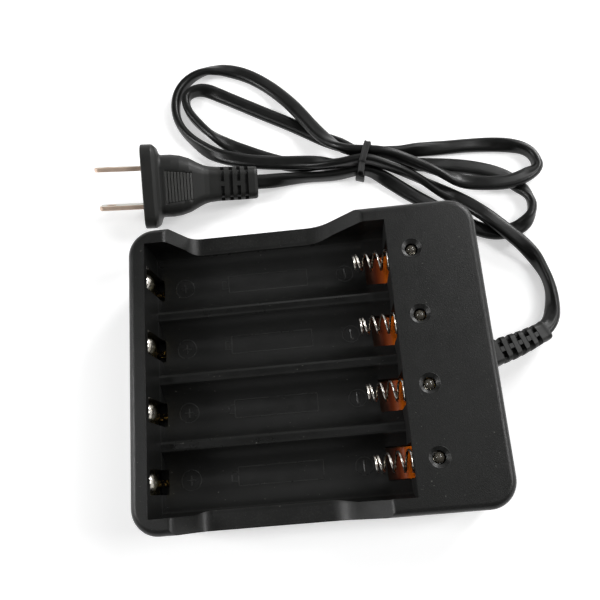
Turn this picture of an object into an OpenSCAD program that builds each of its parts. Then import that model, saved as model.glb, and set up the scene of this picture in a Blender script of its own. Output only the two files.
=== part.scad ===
// Four-bay charger for round lithium-ion cells, with a fixed two-core mains cord and a flat two-blade plug.
// Millimetres. Origin at the middle of the housing's underside, +X towards the lamps and the cord,
// +Y towards the rear wall, +Z up. The four bays lie along X.

/* [Housing] */
// Length over the contact wall and the lamp panel
body_l = 105.5; // [105.5:0.5:108]
// Width across the four bays
body_w = 90; // [90:0.5:94]
// Height from the feet to the lamp panel
body_h = 28; // [27.5:0.1:29]
// Radius of the four upright corners
corner_r = 8; // [6:0.5:10]
// Rounding of the outer top edge
edge_r = 2; // [1.5:0.1:2.4]
// Thickness of the outer skin
skin = 2.2; // [1.8:0.1:2.4]

/* [Bays] */
// Distance from one bay to the next
bay_pitch = 20.2; // [20:0.05:20.3]
// Radius of each trough, a little over half a cell
trough_r = 10; // [9.8:0.05:10.1]
// Height of the trough bottom over the table
floor_z = 9.85; // [9.5:0.05:10.2]
// Height of the three dividing ridges over the trough bottom
ridge_h = 5.15; // [4.5:0.05:5.6]
// Inner face of the contact wall at the top
bay_left = -47.55; // [-47.8:0.05:-47.3]
// How far the contact wall leans in towards its foot
wall_draft = 0.8; // [0.4:0.1:1]
// Left edge of the lamp panel, which is also the springs' end wall
panel_x = 26; // [25.8:0.1:26.2]

/* [Finger scallops] */
// Height of the low middle of the front and rear walls
dip_z = 15.5; // [15.3:0.1:18]
// Left end of the low stretch
dip_left = -32; // [-33:0.5:-29]
// Right end of the low stretch
dip_right = 1.7; // [0:0.1:4]
// Start of the drop beside the contact wall
crest_left = -42.3; // [-43:0.1:-42]
// End of the climb beside the lamp panel
crest_right = 19.9; // [19:0.1:20.5]
// Radius of the bend at the foot of the left slope
left_bend = 4.8; // [4:0.1:5]
// Radius of the bend at the foot of the right slope
right_bend = 11; // [9:0.5:12]
// Radius of the bends where the slopes meet the wall tops
crest_bend = 2; // [1.5:0.1:2.2]

/* [Contacts and springs] */
// Width of the window for each positive contact
contact_window_w = 7.2; // [6.8:0.1:7.6]
// Width of the window for each spring
spring_window_w = 9.8; // [9.4:0.1:10.2]
// Where the free tip of each spring stands
spring_tip_x = 15.4; // [15:0.1:16.5]
// Outside diameter of the spring at its tip
spring_tip_d = 4.9; // [4.6:0.1:5.2]
// Outside diameter of the spring at its foot
spring_foot_d = 7; // [6.6:0.1:7.4]
// Spring wire diameter
wire_d = 0.7; // [0.65:0.05:0.8]

/* [Lamps] */
// Distance of the lamps from the middle of the housing
lamp_x = 33; // [32.6:0.1:33.4]
// Diameter of the countersink around each lamp
lamp_sink_d = 5.8; // [5.4:0.1:6]

/* [Part to show] */
// One piece by name, or all

/* [Hidden] */

$fn = 64;
bays = [0, 1, 2, 3];
split_z = 7;
foot_h = 0.8;
cover_t = 2;
axis_z = floor_z + trough_r;
ridge_z = floor_z + ridge_h;
top_z = body_h;
floor_t = 1.8;
spring_z = axis_z - 0.4;
inner_y = 1.5 * bay_pitch + trough_r;
panel_under = top_z - 2.2;
far = 200;
board_z = 4.4;
board_t = 1.6;
board_top = board_z + board_t;
screw_x = 46;
screw_y = 38.8;
relief_y = -0.9;
relief_z = 9.2;

function bay_y(i) = (1.5 - i) * bay_pitch;

// Cuboid between two opposite corners
module span(a, b) {
    translate(a)
    cube([b[0] - a[0], b[1] - a[1], b[2] - a[2]]);
}

// Cylinder lying along X
module bar_x(x0, x1, r) {
    translate([x0, 0, 0])
    rotate([0, 90, 0])
    cylinder(r = r, h = x1 - x0);
}

// Outline in X and Z carried along Y, centred
module along_y(w) {
    rotate([90, 0, 0])
    linear_extrude(height = w, center = true)
    children();
}

// Closed skin over rings of equally many points
module loft(rings) {
    n = len(rings[0]);
    m = len(rings);
    sides = [for (k = [0:m - 2]) for (j = [0:n - 1]) for (half = [0, 1])
        half == 0
            ? [k * n + j, k * n + (j + 1) % n, (k + 1) * n + (j + 1) % n]
            : [k * n + j, (k + 1) * n + (j + 1) % n, (k + 1) * n + j]];
    start = [[for (j = [n - 1:-1:0]) j]];
    end = [[for (j = [0:n - 1]) (m - 1) * n + j]];
    polyhedron(points = [for (r = rings) for (p = r) p], faces = concat(start, sides, end));
}

// Block with round upright corners and a rounded top edge, made of parts that share faces
module soft_block(l, w, h, rc, rf) {
    a = l / 2 - rc;
    b = w / 2 - rc;
    for (c = [[a, b, 0], [-a, b, 90], [-a, -b, 180], [a, -b, 270]])
        translate([c[0], c[1], 0])
        rotate([0, 0, c[2]])
        rotate_extrude(angle = 90)
        edge_outline(rc, h, rf);
    rotate([90, 0, 90])
    linear_extrude(height = 2 * a, center = true)
    union() {
        edge_outline(w / 2, h, rf);
        mirror([1, 0])
        edge_outline(w / 2, h, rf);
    }
    for (s = [0, 1])
        mirror([s, 0, 0])
        translate([a, 0, 0])
        rotate([90, 0, 0])
        linear_extrude(height = 2 * b, center = true)
        edge_outline(rc, h, rf);
}

// Half section of a wall top: straight side with a quarter round at the upper corner
module edge_outline(x, h, rf) {
    square([x, h - rf]);
    square([x - rf, h]);
    translate([x - rf, h - rf])
    circle(r = rf);
}

// Angle of the straight slope that touches a crest bend of radius ra and a dip bend of radius rb
function slope_angle(dx, dz, ra, rb) = asin((ra + rb) / sqrt(dx * dx + dz * dz)) + atan2(dz, dx);

// Outline of one end of the scallop: the wall top ends at 0, the dip starts at dx
module scallop_end(dx, rb) {
    ra = crest_bend;
    t = slope_angle(dx, top_z - dip_z - ra - rb, ra, rb);
    difference() {
        union() {
            polygon([[ra * sin(t), top_z - ra + ra * cos(t)],
                [dx - rb * sin(t), dip_z + rb - rb * cos(t)],
                [dx, dip_z], [dx + 0.5, dip_z], [dx + 0.5, top_z + 5], [0, top_z + 5], [0, top_z]]);
            intersection() {
                translate([dx, dip_z + rb])
                circle(r = rb);
                translate([dx - rb * sin(t), dip_z])
                square([rb * sin(t), rb]);
            }
        }
        translate([0, top_z - ra])
        circle(r = ra);
    }
}

// The finger scallop through the front and rear walls
module scallop_cut() {
    along_y(far)
    union() {
        translate([crest_left, 0])
        scallop_end(dip_left - crest_left, left_bend);
        translate([dip_left, dip_z])
        square([dip_right - dip_left, far]);
        translate([crest_right, 0])
        mirror([1, 0])
        scallop_end(crest_right - dip_right, right_bend);
    }
}

// The space over the four troughs, narrowed at its left end by the leaning contact wall
module bay_space() {
    intersection() {
        union() {
            for (i = bays)
                translate([0, bay_y(i), axis_z])
                bar_x(bay_left - 1, panel_x, trough_r);
            span([bay_left - 1, -1.5 * bay_pitch, ridge_z], [panel_x, 1.5 * bay_pitch, top_z + 1]);
            span([bay_left - 1, -inner_y, axis_z], [panel_x, inner_y, top_z + 1]);
        }
        along_y(far)
        polygon([[bay_left + wall_draft, floor_z - 1], [panel_x, floor_z - 1], [panel_x, top_z + 1],
            [bay_left, top_z + 1], [bay_left, top_z]]);
    }
}

// Upright block with the housing's own outline, as large as its inner faces
module inner_block(x0, x1, z0, z1) {
    intersection() {
        translate([0, 0, z0])
        linear_extrude(height = z1 - z0)
        plan(body_l - 2 * skin, body_w - 2 * skin, corner_r - skin);
        span([x0, -far, z0 - 1], [x1, far, z1 + 1]);
    }
}

// Inner spaces of the housing, open towards the bottom cover
module inner_space() {
    difference() {
        inner_block(-far, panel_x - 0.4, split_z - 1, 13);
        for (i = bays)
            translate([0, bay_y(i), axis_z])
            bar_x(-far, far, trough_r + floor_t);
        span([-far, -far, 9], [bay_left + 1.2, far, 14]);
        screw_posts();
    }
    difference() {
        inner_block(panel_x + 1.8, far, split_z - 1, panel_under);
        screw_posts();
    }
}

// Posts that take the cover screws
module screw_posts() {
    for (x = [-screw_x, screw_x])
        for (y = [-screw_y, screw_y])
            translate([x, y, split_z - 2])
            cylinder(r = 3, h = 30);
}

// Pocket behind each positive contact, its window, the spring windows, lamp holes and the cord hole
module housing_openings() {
    w = spring_window_w / 2;
    c = contact_window_w / 2;
    for (i = bays)
        translate([0, bay_y(i), 0]) {
            span([bay_left - 3.05, -4.6, split_z - 2], [bay_left - 1.35, 4.6, 25.9]);
            span([bay_left - 1.9, -c, split_z - 2.5], [bay_left + 1.5, c, 25.6]);
            span([19.6, -w, split_z - 2], [panel_x + 2.3, w, floor_z + 1.3]);
            span([panel_x - 0.2, -w, floor_z + 0.6], [panel_x + 2.3, w, panel_under - 0.4]);
            translate([lamp_x, 0, top_z - 1.3])
            cylinder(r1 = 1.9, r2 = lamp_sink_d / 2 + 0.15, h = 1.4);
            translate([lamp_x, 0, top_z - 4])
            cylinder(r = 1.9, h = 5);
        }
    cord_hole();
}

// Hole in the right wall that the neck of the strain relief passes through
module cord_hole() {
    translate([body_l / 2 - 5, relief_y, relief_z])
    rotate([0, 90, 0])
    cylinder(r = 3, h = 10);
}

module upper_housing() {
    color("#262626")
    difference() {
        translate([0, 0, split_z])
        soft_block(body_l, body_w, body_h - split_z, corner_r, edge_r);
        inner_space();
        bay_space();
        scallop_cut();
        housing_openings();
        for (x = [-screw_x, screw_x])
            for (y = [-screw_y, screw_y])
                translate([x, y, split_z - 1])
                cylinder(r = 1.3, h = 7);
    }
}

module bottom_cover() {
    color("#1f1f1f")
    difference() {
        union() {
            difference() {
                translate([0, 0, split_z])
                mirror([0, 0, 1])
                soft_block(body_l, body_w, split_z - foot_h, corner_r, 1.6);
                translate([0, 0, foot_h + cover_t])
                linear_extrude(height = split_z)
                plan(body_l - 2 * skin, body_w - 2 * skin, corner_r - skin);
            }
            for (x = [-screw_x, screw_x])
                for (y = [-screw_y, screw_y])
                    translate([x, y, foot_h + 0.5])
                    cylinder(r = 4, h = split_z - foot_h - 0.5);
            for (x = [-36, 47])
                for (y = [-20, 20])
                    translate([x, y, foot_h + 0.5])
                    cylinder(r = 1.8, h = board_z - foot_h - 0.5);
            for (x = [-40, 40])
                for (y = [-32, 32])
                    translate([x, y, 0])
                    cylinder(r = 4.5, h = foot_h + 1);
        }
        for (x = [-screw_x, screw_x])
            for (y = [-screw_y, screw_y])
                translate([x, y, 0]) {
                    cylinder(r = 1.6, h = 20);
                    cylinder(r = 3, h = 4);
                }
        for (k = [-3:3])
            span([34, k * 5 - 0.9, 0], [46, k * 5 + 0.9, foot_h + cover_t + 0.2]);
        for (k = [-3:3])
            span([-30, k * 5 - 0.9, 0], [-14, k * 5 + 0.9, foot_h + cover_t + 0.2]);
        cord_hole();
    }
}

// Rectangle with round corners, made of a cross and four discs
module plan(l, w, r) {
    square([l - 2 * r, w], center = true);
    square([l, w - 2 * r], center = true);
    for (x = [-1, 1])
        for (y = [-1, 1])
            translate([x * (l / 2 - r), y * (w / 2 - r)])
            circle(r = r);
}

module cover_screws() {
    color("#b8b8b4")
    for (x = [-screw_x, screw_x])
        for (y = [-screw_y, screw_y])
            translate([x, y, 0])
            difference() {
                union() {
                    translate([0, 0, 2.1])
                    cylinder(r1 = 2.2, r2 = 2.6, h = 0.5);
                    translate([0, 0, 2.6])
                    cylinder(r = 2.6, h = 1.4);
                    translate([0, 0, 4])
                    cylinder(r = 1.29, h = 8.6);
                }
                translate([0, 0, 2.6])
                cube([0.7, 3, 1.6], center = true);
                translate([0, 0, 2.6])
                cube([3, 0.7, 1.6], center = true);
            }
}

// Sprung steel plate with a raised round button, and a foot that reaches over the board
module positive_contact(i) {
    x = bay_left - 1.8;
    h = 1.9;
    a = 3;
    r = (a * a + h * h) / (2 * h);
    color("#c9c7bd")
    translate([0, bay_y(i), 0])
    union() {
        span([x, -4.3, 10.5], [x + 0.4, 4.3, 25.4]);
        span([x, -1, board_top], [x + 0.4, 1, 10.7]);
        span([x, -1, board_top], [-41, 1, board_top + 0.4]);
        intersection() {
            translate([x + 0.4 + h - r, 0, axis_z - 0.6])
            sphere(r = r);
            span([x + 0.2, -a, 10], [x + 5, a, 25]);
        }
    }
}

// Spring wire: tight turns at the free tip, open turns, one closed foot turn, then a tail soldered to the board
tip_turns = 1.2;
open_turns = 3;
total_turns = tip_turns + open_turns + 1;
tight_pitch = wire_d * 1.25;
foot_x = 27.3;
tail_x = 29.8;
open_run = foot_x - spring_tip_x - wire_d - (tip_turns + 1) * tight_pitch;

// Distance along X after a number of turns
function coil_run(t) =
    t < tip_turns ? t * tight_pitch :
    t < tip_turns + open_turns ? tip_turns * tight_pitch + (t - tip_turns) / open_turns * open_run :
    open_run + (t - open_turns) * tight_pitch;

// Middle radius of the coil, which opens towards the foot
function coil_rad(t) = (spring_tip_d - wire_d) / 2 + (spring_foot_d - spring_tip_d) / 2 * min(1, t / (total_turns - 0.5));

// Ring of the wire's section after a number of turns
function coil_ring(t, n) = let (a = 360 * t, out = [0, sin(a), -cos(a)],
    c = [spring_tip_x + wire_d / 2 + coil_run(t), 0, 0] + coil_rad(t) * out)
    [for (j = [0:n - 1]) c + wire_d / 2 * (cos(360 * j / n) * out + sin(360 * j / n) * [1, 0, 0])];

module negative_spring(i) {
    steps = 90;
    tail_y = coil_rad(total_turns);
    color("#d8d5cc")
    translate([0, bay_y(i), spring_z])
    union() {
        loft([for (k = [0:steps]) coil_ring(k * total_turns / steps, 8)]);
        translate([0, tail_y, 0])
        bar_x(foot_x - wire_d * 0.8, tail_x, wire_d * 0.45);
        translate([tail_x, tail_y, 0])
        sphere(r = wire_d * 0.45);
        translate([tail_x, tail_y, board_top + 0.3 - spring_z])
        cylinder(r = wire_d * 0.45, h = spring_z - board_top - 0.3);
    }
}

// Strip of amber film: lies under the floor slot, turns up behind the spring, and is notched for its tail
module spring_insulator(i) {
    w = spring_window_w - 0.6;
    t = 0.35;
    r = 5.5;
    z0 = floor_z - floor_t - t;
    xr = panel_x + 2.15;
    color("#c8641e")
    translate([0, bay_y(i), 0])
    difference() {
        along_y(w)
        union() {
            translate([14.5, z0])
            square([xr - r - 14.5, t]);
            intersection() {
                difference() {
                    translate([xr - r, z0 + r])
                    circle(r = r);
                    translate([xr - r, z0 + r])
                    circle(r = r - t);
                }
                translate([xr - r, z0])
                square([r, r]);
            }
            translate([xr - t, z0 + r])
            square([t, 25 - z0 - r]);
        }
        span([xr - 1, coil_rad(total_turns) - 0.9, spring_z - 0.9], [xr + 1, w, spring_z + 0.9]);
    }
}

// Clear lamp: domed body over a collar, on two legs that stand on the board
module led(i) {
    color("#dcd9c4")
    translate([lamp_x, bay_y(i), 0])
    union() {
        translate([0, 0, 21.6])
        cylinder(r = 1.85, h = 0.9);
        translate([0, 0, 22.4])
        cylinder(r = 1.5, h = top_z - 24.6);
        translate([0, 0, top_z - 2.2])
        sphere(r = 1.5);
        for (s = [-1.27, 1.27])
            translate([s - 0.25, -0.25, board_top])
            cube([0.5, 0.5, 15.8]);
    }
}

module main_board() {
    color("#7a5a2c")
    difference() {
        span([-43, -34, board_z], [50, 34, board_top]);
        for (s = [-1, 1])
            span([48, s > 0 ? 31 : -35, board_z - 1], [51, s > 0 ? 35 : -31, board_top + 1]);
        span([48.9, relief_y - 4.5, board_z - 1], [51, relief_y + 4.5, board_top + 1]);
    }
}

// Ferrite core with a taped winding between its cheeks
module transformer() {
    color("#3a3a3a")
    translate([42, -14, board_top])
    union() {
        span([-6.5, -7, 0], [6.5, 7, 2.2]);
        span([-2.4, -8, 2.2], [2.4, 8, 14.6]);
        span([-6.3, -5.6, 2.2], [6.3, 5.6, 12.6]);
    }
}

// Round can capacitor standing on the board
module can_capacitor(r, h) {
    translate([0, 0, board_top])
    union() {
        cylinder(r = r, h = 1.4);
        translate([0, 0, 1.4])
        cylinder(r = r - 0.3, h = 0.7);
        translate([0, 0, 2.1])
        cylinder(r = r, h = h - 2.1);
    }
}

module bulk_capacitor() {
    color("#20304a")
    translate([43, 13, 0])
    can_capacitor(5, 16);
}

module output_capacitor() {
    color("#20304a")
    translate([43, -29, 0])
    can_capacitor(4, 12);
}

module fuse_resistor() {
    color("#6f8fa8")
    translate([42, 27.5, board_top + 2.1])
    union() {
        bar_x(-4.5, 4.5, 1.7);
        bar_x(-5, -3, 2);
        bar_x(3, 5, 2);
        for (s = [-1, 1])
            translate([s * 6, 0, 0])
            cylinder(r = 0.35, h = 0.01 + 0.35);
        bar_x(-6.3, 6.3, 0.35);
        for (s = [-1, 1])
            translate([s * 6, 0, -2.1])
            cylinder(r = 0.35, h = 2.2);
    }
}

module rectifier_diodes() {
    color("#2a2a2a")
    for (k = [0:3])
        translate([-4, -9 + k * 6, board_top])
        union() {
            translate([-2, -1.2, 0])
            cube([4, 2.4, 1.2]);
            translate([-2.6, -0.7, 0])
            cube([5.2, 1.4, 0.4]);
        }
}

module switching_transistor() {
    color("#242424")
    translate([37.5, 1.5, board_top])
    union() {
        translate([-1.4, -4, 4])
        cube([2.8, 8, 10]);
        for (k = [-2.3, 0, 2.3])
            translate([-0.3, k - 0.4, 0])
            cube([0.6, 0.8, 4.1]);
    }
}

module charge_transistors() {
    color("#242424")
    for (i = bays)
        translate([0, bay_y(i), board_top])
        union() {
            translate([8, -3.4, 0])
            cube([3.2, 2.6, 1.1]);
            translate([7.4, -2.6, 0])
            cube([4.4, 1, 0.4]);
        }
}

// Two insulated wires from the cord's inner end down to the board
module mains_leads() {
    color("#70402c")
    for (s = [-1, 1])
        loft([for (k = [0:len(lead_path) - 1])
            let (p = lead_path[k], a = lead_path[max(0, k - 1)], b = lead_path[min(len(lead_path) - 1, k + 1)],
                d = (b - a) / norm(b - a), v = [d[2], 0, -d[0]])
            [for (j = [0:7]) [p[0], p[1] + s * 1.5 + relief_y, p[2]]
                + 0.8 * cos(45 * j) * [0, 1, 0] + 0.8 * sin(45 * j) * v]]);
}
lead_path = [[49.2, 0, 9.2], [48.4, 0, 9.2], [47.4, 0, 9], [46.6, 0, 8.4], [46.2, 0, 7.4], [46.1, 0, 6.1]];

// Middle line of the strain relief: x, y, z, half width, half height
relief_line = [
    [52.75, -0.9, 9.2, 4.05, 3.7], [55, -0.45, 9.1, 4, 3.65], [58, 0.45, 8.8, 3.9, 3.55],
    [61, 1.3, 8.5, 3.8, 3.45], [64, 2.25, 8.1, 3.65, 3.35], [67, 3.35, 7.7, 3.45, 3.2],
    [70, 4.6, 7.2, 3.25, 3.05], [72.4, 5.7, 6.8, 3.1, 2.9], [73.6, 6.3, 6.6, 2.6, 2.4]];

// Unit direction of a path at one of its points
function heading(path, k) = let (a = path[max(0, k - 1)], b = path[min(len(path) - 1, k + 1)],
    d = [b[0] - a[0], b[1] - a[1], b[2] - a[2]]) d / norm(d);
function sideways(d) = let (v = [-d[1], d[0], 0]) v / norm(v);

// Rectangle with rounded corners as a ring: n points for each quarter
function soft_ring(c, d, hw, hh, r, n, roll = 0) = let (u0 = sideways(d), v0 = cross(u0, d),
    u = u0 * cos(roll) + v0 * sin(roll), v = v0 * cos(roll) - u0 * sin(roll))
    [for (q = [0:3]) for (j = [0:n - 1])
        let (a = 90 * q + 90 * j / (n - 1), sx = (q == 0 || q == 3) ? 1 : -1, sy = q < 2 ? 1 : -1)
        c + u * (sx * (hw - r) + r * cos(a)) + v * (sy * (hh - r) + r * sin(a))];

// Slots across the strain relief: x, y, z, direction
relief_slots = [[58, 0.45, 8.8, 16], [60.9, 1.3, 8.5, 17], [63.8, 2.2, 8.1, 19], [66.6, 3.2, 7.75, 21], [69.3, 4.3, 7.3, 23]];

module strain_relief() {
    color("#1c1c1c")
    difference() {
        union() {
            loft([for (k = [0:len(relief_line) - 1])
                let (p = relief_line[k], d = k == 0 ? [1, 0, 0] : heading(relief_line, k))
                soft_ring([p[0], p[1], p[2]], d, p[3], p[4], 1.4, 4)]);
            translate([0, relief_y, relief_z])
            bar_x(50.3, 53.4, 2.9);
            translate([0, relief_y, relief_z])
            bar_x(49.3, 50.5, 3.8);
        }
        for (p = relief_slots)
            translate([p[0], p[1], p[2]])
            rotate([0, 0, p[3]])
            for (s = [-1, 1])
                for (v = [-1, 1])
                    translate([0, s * 3.85, v * 3.4])
                    cube([1.3, 6, 6], center = true);
    }
}

// Cord route from the strain relief, five times through the tie, to the plug:
// x, y, height of the underside over the table, roll of the flat section in degrees
route = [
    [72.2, 5.7, 5.2, 0], [75.9, 9.2, 3.8, 15], [78.2, 14.7, 1.4, 55], [79, 22, 0.1, 85], [77.3, 28.7, 0.1, 75],
    [73.6, 35.2, 1.9, 20], [67.4, 42, 3.3, 0], [60.6, 49.2, 3.1, 0], [54, 56, 0.5, 0], [48, 60.2, 0.3, -30],
    [42.4, 63.8, 1, -70], [36, 67.2, 2.8, -90], [30, 69.3, 5, -90], [24, 71, 6.3, -90],
    [16, 70.8, 5.9, -80], [8, 72.4, 5.4, -20], [0, 74.2, 3.8, 0], [-8, 75.4, 3.3, 0], [-16, 76.9, 3.3, 0],
    [-23, 79.2, 2.6, 10], [-30, 83, 1, 40], [-36, 88.6, 0.1, 80], [-40.6, 95.2, 0.1, 90], [-42.3, 102, 0.1, 90],
    [-40.8, 109.6, 0.1, 90], [-36, 115, 0.1, 80], [-28, 117.6, 0.2, 40], [-19, 115.8, 0.1, 0], [-11, 111, 0.1, 0],
    [-3, 102.8, 1.2, 0], [2.6, 94.4, 3.4, 0], [7.4, 86.8, 4.1, 10], [12, 80.4, 5.2, 30], [17, 75.9, 6.2, 80],
    [24, 74.2, 6.3, 90], [30, 73, 6.3, 90], [36.4, 70.9, 5, 90], [42.8, 67.8, 3.9, 85], [49, 64.4, 3.3, 60],
    [56, 61.2, 2.8, 10], [65, 59, 3.6, 0], [73, 59, 3.9, 0], [79, 61.4, 3.2, 20], [82.4, 65.2, 0.6, 80],
    [81.4, 69.6, 0.1, 90], [75, 73.4, 0.2, 60], [66, 75.3, 0.1, 10], [54, 75.8, 0.15, 0], [44, 75.8, 0.1, 40],
    [37, 75.7, 0.3, 85], [30, 75.8, 1, 90], [24, 75.7, 1.2, 90], [19, 78.8, 0.7, 75], [12, 83.4, 0.1, 20],
    [3, 89.3, 0.1, 0], [-8, 96, 0.1, 0], [-18.5, 102.4, 0.1, 0], [-27, 107.4, 0.1, 20], [-33.6, 109.4, 0.1, 75],
    [-37.8, 107.6, 0.1, 90], [-38, 102.8, 0.1, 90], [-34.6, 96.4, 0.1, 90], [-28.6, 89.6, 0.4, 60],
    [-21, 84.4, 0.1, 0], [-12, 79.8, 0.1, 0], [-3, 75.9, 0.1, 0], [2, 74.4, 0.1, 20], [8, 73.3, 0.2, 60],
    [16, 72.5, 0.6, 90], [24, 72.5, 1.2, 90], [30, 72.5, 1, 90], [36, 71.6, 0.2, 40], [43, 70.3, 0.1, 10],
    [53, 68.8, 0.1, 0], [63.4, 66.2, 0.1, 0], [70.6, 62.8, 0.1, 0], [75.8, 57.7, 0.2, 15], [78.4, 51.4, 0.1, 80],
    [76.6, 46, 0.4, 60], [71.4, 42.8, 0.2, 0], [64.4, 42.5, 0.1, 0], [57.4, 45.6, 0.1, 0], [47.8, 52.4, 0.1, 0],
    [39, 59.2, 0.1, 0], [30, 66.2, 0.5, 50], [24, 69.3, 1.2, 90], [16, 69.1, 0.7, 90], [4, 69.5, 0.1, 90],
    [-3, 69.3, 0.7, 70], [-9, 68.6, 2.4, 40], [-13, 68.3, 3.6, 26], [-16.5, 68.25, 4.2, 26]];

cord_w = 5;
cord_t = 3;
oval = [[1, 0.35], [0.7, 1], [0, 0.94], [-0.7, 1], [-1, 0.35],
    [-1, -0.35], [-0.7, -1], [0, -0.94], [0.7, -1], [1, -0.35]];

// Half the height of the cord's section at a roll angle
function half_tall(roll) = max([for (o = oval) o[0] * cord_w / 2 * sin(roll) + o[1] * cord_t / 2 * cos(roll)]);

// Middle line of the cord
cord_line = [for (p = route) [p[0], p[1], p[2] + half_tall(p[3])]];

// Flat oval ring of ten points, rolled about the cord's own line
function oval_ring(c, d, roll) = let (u0 = sideways(d), v0 = cross(u0, d),
    u = u0 * cos(roll) + v0 * sin(roll), v = v0 * cos(roll) - u0 * sin(roll))
    [for (o = oval) c + u * o[0] * cord_w / 2 + v * o[1] * cord_t / 2];

module power_cord() {
    color("#1a1a1a")
    loft([for (k = [0:len(route) - 1]) oval_ring(cord_line[k], heading(cord_line, k), route[k][3])]);
}

// Band round the five strands, with its lock
module cord_tie() {
    outer = [[-6.3, 0], [-5.9, -0.75], [5.9, -0.75], [6.3, 0], [6.3, 4.4], [4.5, 11], [3.8, 11.5],
        [-3.8, 11.5], [-4.5, 11], [-6.3, 4.4]];
    inner = [[-5.5, 0.2], [5.5, 0.2], [5.5, 4.5], [3.8, 10.7], [-3.8, 10.7], [-5.5, 4.5]];
    color("#222222")
    translate([24, 72.5, 0.95])
    rotate([0, 0, -14])
    rotate([90, 0, 90])
    union() {
        linear_extrude(height = 2.2, center = true)
        difference() {
            polygon(outer);
            polygon(inner);
        }
        linear_extrude(height = 3, center = true)
        polygon([[-7.6, 0.6], [-6.1, 0.3], [-6.1, 4.2], [-7.2, 4.4], [-8, 3]]);
    }
}

// Plug: placed nose up on the corner of its flange
plug_at = [-51.6, 67.8, 12.4];
plug_pitch = 9.4;
plug_yaw = 0.7;
plug_roll = 26;
module on_plug() {
    translate(plug_at)
    rotate([0, 0, plug_yaw])
    rotate([0, plug_pitch, 0])
    rotate([plug_roll, 0, 0])
    children();
}

// Plug body stations: x, half width, half height, corner radius
plug_line = [
    [0, 13.6, 8.1, 5], [0.5, 13.9, 8.4, 5.3], [3.8, 13.9, 8.4, 5.3], [4.7, 13.1, 7.7, 5], [5.5, 10.8, 6.9, 4.2],
    [6.4, 10.4, 6.6, 4.2], [9.5, 10.4, 6.6, 4.2], [12.4, 10, 6.5, 4.1], [15.5, 9, 6.1, 3.9], [18.8, 7.2, 5.2, 3.4],
    [20.4, 6.5, 4.75, 3.15], [22, 6.1, 4.4, 2.9], [25, 5.8, 4.15, 2.7], [32, 5.7, 4, 2.6], [37.6, 5.5, 3.8, 2.5],
    [38.4, 5.1, 3.4, 2.3]];

module plug_body() {
    color("#1e1e1e")
    on_plug()
    difference() {
        loft([for (p = plug_line) soft_ring([p[0], 0, 0], [1, 0, 0], p[1], p[2], p[3], 5)]);
        for (s = [-1, 1]) {
            translate([5.75, s * 6.35, 0])
            cube([11.5, 1.52, 6.37], center = true);
            translate([12.4, 0, s * 7.6])
            cube([10, 12.6, 3.4], center = true);
            for (v = [-1, 1])
                for (x = [26.4, 31.9])
                    translate([x, s * 4.4, v * 5.9])
                    cube([1.15, 6.2, 10], center = true);
            for (x = [29.3, 34.6])
                translate([x, 0, s * 5.9])
                cube([1.15, 20, 10], center = true);
        }
        for (k = [0:7])
            for (s = [-1, 1])
                translate([8.4 + k * 1.15, 0, s * 5.85])
                cube([0.5, 12.6, 0.5], center = true);
    }
}

module plug_blade(s) {
    color("#cdbfae")
    on_plug()
    translate([0, s * 6.35, 0])
    rotate([90, 0, 0])
    linear_extrude(height = 1.5, center = true)
    difference() {
        polygon([[11.4, -3.17], [11.4, 3.17], [-13.9, 3.17], [-15.1, 2.2], [-15.1, -2.2], [-13.9, -3.17]]);
        translate([-11.3, 0])
        circle(r = 1.6);
    }
}

upper_housing();
bottom_cover();
cover_screws();
positive_contact(0);  // positive_contact_1
positive_contact(1);  // positive_contact_2
positive_contact(2);  // positive_contact_3
positive_contact(3);  // positive_contact_4
negative_spring(0);  // negative_spring_1
negative_spring(1);  // negative_spring_2
negative_spring(2);  // negative_spring_3
negative_spring(3);  // negative_spring_4
spring_insulator(0);  // spring_insulator_1
spring_insulator(1);  // spring_insulator_2
spring_insulator(2);  // spring_insulator_3
spring_insulator(3);  // spring_insulator_4
led(0);  // led_1
led(1);  // led_2
led(2);  // led_3
led(3);  // led_4
main_board();
transformer();
bulk_capacitor();
output_capacitor();
fuse_resistor();
rectifier_diodes();
switching_transistor();
charge_transistors();
mains_leads();
strain_relief();
power_cord();
cord_tie();
plug_body();
plug_blade(1);  // plug_blade_1
plug_blade(-1);  // plug_blade_2
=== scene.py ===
import bpy
import math
import numpy as np
from mathutils import Matrix, Vector


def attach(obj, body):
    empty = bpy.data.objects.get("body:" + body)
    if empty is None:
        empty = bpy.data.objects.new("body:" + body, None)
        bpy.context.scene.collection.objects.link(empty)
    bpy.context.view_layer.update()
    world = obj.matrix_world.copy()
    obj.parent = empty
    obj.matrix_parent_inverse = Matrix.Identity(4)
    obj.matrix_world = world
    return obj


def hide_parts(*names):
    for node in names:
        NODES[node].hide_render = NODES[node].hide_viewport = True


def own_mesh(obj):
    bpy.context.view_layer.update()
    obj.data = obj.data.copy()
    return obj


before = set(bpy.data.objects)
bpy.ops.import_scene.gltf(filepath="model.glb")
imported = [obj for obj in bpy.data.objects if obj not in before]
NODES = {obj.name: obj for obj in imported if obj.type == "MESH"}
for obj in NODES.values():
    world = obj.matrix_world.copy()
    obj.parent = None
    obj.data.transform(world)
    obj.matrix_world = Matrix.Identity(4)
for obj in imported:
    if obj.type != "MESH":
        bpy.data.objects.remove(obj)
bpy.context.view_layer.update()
BODY = "charger"
MM = 0.001

# Sizes shared with the CAD, in millimetres
BAYS = 4
BAY_PITCH = 20.2
TROUGH_R = 10.0
FLOOR_Z = 9.85
AXIS_Z = FLOOR_Z + TROUGH_R
SPRING_Z = AXIS_Z - 0.4
RIDGE_TOP = 15.0
LAMP_X = 33.0


def bay_y(i):
    return ((BAYS - 1) / 2 - i) * BAY_PITCH


# Mesh helpers, sizes in millimetres

def new_object(name, data):
    obj = bpy.data.objects.new(name, data)
    bpy.context.scene.collection.objects.link(obj)
    return obj


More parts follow.
